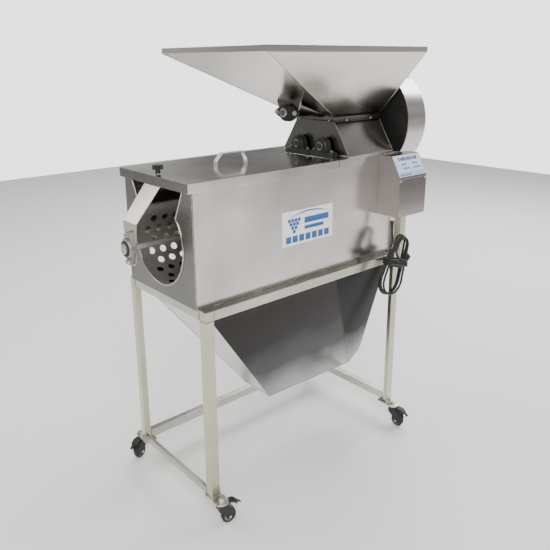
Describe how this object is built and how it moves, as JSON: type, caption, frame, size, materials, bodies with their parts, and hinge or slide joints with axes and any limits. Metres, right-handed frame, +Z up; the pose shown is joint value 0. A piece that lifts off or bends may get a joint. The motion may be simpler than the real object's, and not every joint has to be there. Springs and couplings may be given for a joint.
{
  "type": "grape crusher destemmer",
  "caption": "Stainless drum destemmer on a castered tube frame, with feed hopper, crushing rollers, beater, screen, must chute and belt drive.",
  "frame": {"origin": "on the floor, under the middle of the machine's box measured without the cord", "axes": "+X from the stem outlet to the drive end, -Y is the control side, +Z up"},
  "size_m": [1.2992, 0.6666, 1.613],
  "materials": {
    "stainless_sheet": "satin",
    "stainless_tube": "satin",
    "cast_iron_dark": "rough",
    "cast_iron_light": "rough",
    "black_plastic": "matte",
    "black_rubber": "matte",
    "roller_rubber": "matte",
    "black_paint": "satin",
    "motor_paint": "satin",
    "box_steel": "satin",
    "grey_plastic": "matte",
    "red_plastic": "gloss",
    "label_film": "satin",
    "wheel_rubber": "matte"
  },
  "bodies": {
    "frame": {"leg_front_left": "stainless_tube", "leg_front_right": "stainless_tube", "leg_back_left": "stainless_tube", "leg_back_right": "stainless_tube", "rail_front": "stainless_tube", "rail_back": "stainless_tube", "rail_left": "stainless_tube", "rail_right": "stainless_tube", "brace_left": "stainless_tube", "brace_right": "stainless_tube", "brace_back": "stainless_tube", "caster_plate_front_left": "stainless_sheet", "caster_plate_front_right": "stainless_sheet", "caster_plate_back_left": "stainless_sheet", "caster_plate_back_right": "stainless_sheet", "wall_front": "stainless_sheet", "wall_back": "stainless_sheet", "end_plate_outlet": "stainless_sheet", "end_plate_drive": "stainless_sheet", "juice_chute": "stainless_sheet", "deck": "stainless_sheet", "screen_lower": "stainless_sheet", "screen_upper": "stainless_sheet", "bearing_strap": "stainless_sheet", "bearing_outlet": "cast_iron_light", "roller_housing": "stainless_sheet", "pillow_block_front": "cast_iron_dark", "pillow_block_back": "cast_iron_dark", "hopper": "stainless_sheet", "bearing_feed": "cast_iron_dark", "guard_plate": "black_paint", "belt_guard": "stainless_sheet", "drive_belt": "black_rubber", "gearmotor": "motor_paint", "control_box": "box_steel", "cable_gland": "grey_plastic", "power_cord": "black_rubber", "cord_hank": "black_rubber", "plug": "black_plastic", "front_label": "label_film"},
    "swivel_front_left": {"caster_fork_front_left": "black_plastic"},
    "wheel_front_left": {"caster_wheel_front_left": "wheel_rubber"},
    "brake_front_left": {"caster_brake_front_left": "black_plastic"},
    "swivel_front_right": {"caster_fork_front_right": "black_plastic"},
    "wheel_front_right": {"caster_wheel_front_right": "wheel_rubber"},
    "brake_front_right": {"caster_brake_front_right": "black_plastic"},
    "swivel_back_left": {"caster_fork_back_left": "black_plastic"},
    "wheel_back_left": {"caster_wheel_back_left": "wheel_rubber"},
    "brake_back_left": {"caster_brake_back_left": "black_plastic"},
    "swivel_back_right": {"caster_fork_back_right": "black_plastic"},
    "wheel_back_right": {"caster_wheel_back_right": "wheel_rubber"},
    "brake_back_right": {"caster_brake_back_right": "black_plastic"},
    "lid": {"lid": "stainless_sheet", "lid_handle": "stainless_sheet"},
    "lid_knob": {"lid_knob": "black_plastic"},
    "beater": {"beater": "stainless_sheet"},
    "roller_front": {"roller_front": "roller_rubber"},
    "roller_back": {"roller_back": "roller_rubber"},
    "feed_shaft": {"feed_shaft": "stainless_sheet"},
    "switch": {"switch_knob": "red_plastic"}
  },
  "joints": [
    {"name": "swivel_front_left", "type": "hinge", "parent": "frame", "child": "swivel_front_left", "pos_m": [-0.48835, -0.25717, 0.083], "axis": [0, 0, 1], "continuous": true},
    {"name": "wheel_front_left", "type": "hinge", "parent": "swivel_front_left", "child": "wheel_front_left", "pos_m": [-0.46267, -0.26124, 0.027], "axis": [0.1564, 0.9877, 0], "continuous": true},
    {"name": "brake_front_left", "type": "hinge", "parent": "swivel_front_left", "child": "brake_front_left", "pos_m": [-0.46563, -0.26077, 0.084], "axis": [0.1564, 0.9877, 0], "range_deg": [0, 10]},
    {"name": "swivel_front_right", "type": "hinge", "parent": "frame", "child": "swivel_front_right", "pos_m": [0.46165, -0.25717, 0.083], "axis": [0, 0, 1], "continuous": true},
    {"name": "wheel_front_right", "type": "hinge", "parent": "swivel_front_right", "child": "wheel_front_right", "pos_m": [0.46482, -0.28298, 0.027], "axis": [0.9925, 0.1219, 0], "continuous": true},
    {"name": "brake_front_right", "type": "hinge", "parent": "swivel_front_right", "child": "brake_front_right", "pos_m": [0.46445, -0.28, 0.084], "axis": [0.9925, 0.1219, 0], "range_deg": [0, 10]},
    {"name": "swivel_back_left", "type": "hinge", "parent": "frame", "child": "swivel_back_left", "pos_m": [-0.48835, 0.28483, 0.083], "axis": [0, 0, 1], "continuous": true},
    {"name": "wheel_back_left", "type": "hinge", "parent": "swivel_back_left", "child": "wheel_back_left", "pos_m": [-0.51293, 0.27636, 0.027], "axis": [0.3256, -0.9455, 0], "continuous": true},
    {"name": "brake_back_left", "type": "hinge", "parent": "swivel_back_left", "child": "brake_back_left", "pos_m": [-0.5101, 0.27734, 0.084], "axis": [0.3256, -0.9455, 0], "range_deg": [0, 10]},
    {"name": "swivel_back_right", "type": "hinge", "parent": "frame", "child": "swivel_back_right", "pos_m": [0.46165, 0.28483, 0.083], "axis": [0, 0, 1], "continuous": true},
    {"name": "wheel_back_right", "type": "hinge", "parent": "swivel_back_right", "child": "wheel_back_right", "pos_m": [0.48295, 0.29974, 0.027], "axis": [-0.5736, 0.8191, 0], "continuous": true},
    {"name": "brake_back_right", "type": "hinge", "parent": "swivel_back_right", "child": "brake_back_right", "pos_m": [0.48049, 0.29802, 0.084], "axis": [-0.5736, 0.8191, 0], "range_deg": [0, 10]},
    {"name": "lid_lift", "type": "slide", "parent": "frame", "child": "lid", "axis": [0, 0, 1], "range_m": [0, 0.1]},
    {"name": "lid_knob_turn", "type": "hinge", "parent": "lid", "child": "lid_knob", "pos_m": [-0.50435, 0.01383, 1.217], "axis": [0, 0, 1], "continuous": true},
    {"name": "beater_spin", "type": "hinge", "parent": "frame", "child": "beater", "pos_m": [-0.10635, 0.01383, 0.983], "axis": [1, 0, 0], "continuous": true},
    {"name": "roller_front_spin", "type": "hinge", "parent": "frame", "child": "roller_front", "pos_m": [0.34365, -0.05217, 1.246], "axis": [1, 0, 0], "continuous": true},
    {"name": "roller_back_spin", "type": "hinge", "parent": "frame", "child": "roller_back", "pos_m": [0.34365, 0.07983, 1.246], "axis": [1, 0, 0], "continuous": true},
    {"name": "feed_spin", "type": "hinge", "parent": "frame", "child": "feed_shaft", "pos_m": [0.34365, 0.01383, 1.377], "axis": [1, 0, 0], "continuous": true},
    {"name": "switch_turn", "type": "hinge", "parent": "frame", "child": "switch", "pos_m": [0.53365, -0.24917, 1.067], "axis": [1, 0, 0], "range_deg": [0, 90]}
  ],
  "couplings": [
    {"joint": "roller_front_spin", "follows": "beater_spin", "ratio": 0.41935},
    {"joint": "roller_back_spin", "follows": "beater_spin", "ratio": -0.41935},
    {"joint": "feed_spin", "follows": "beater_spin", "ratio": 0.61905}
  ]
}
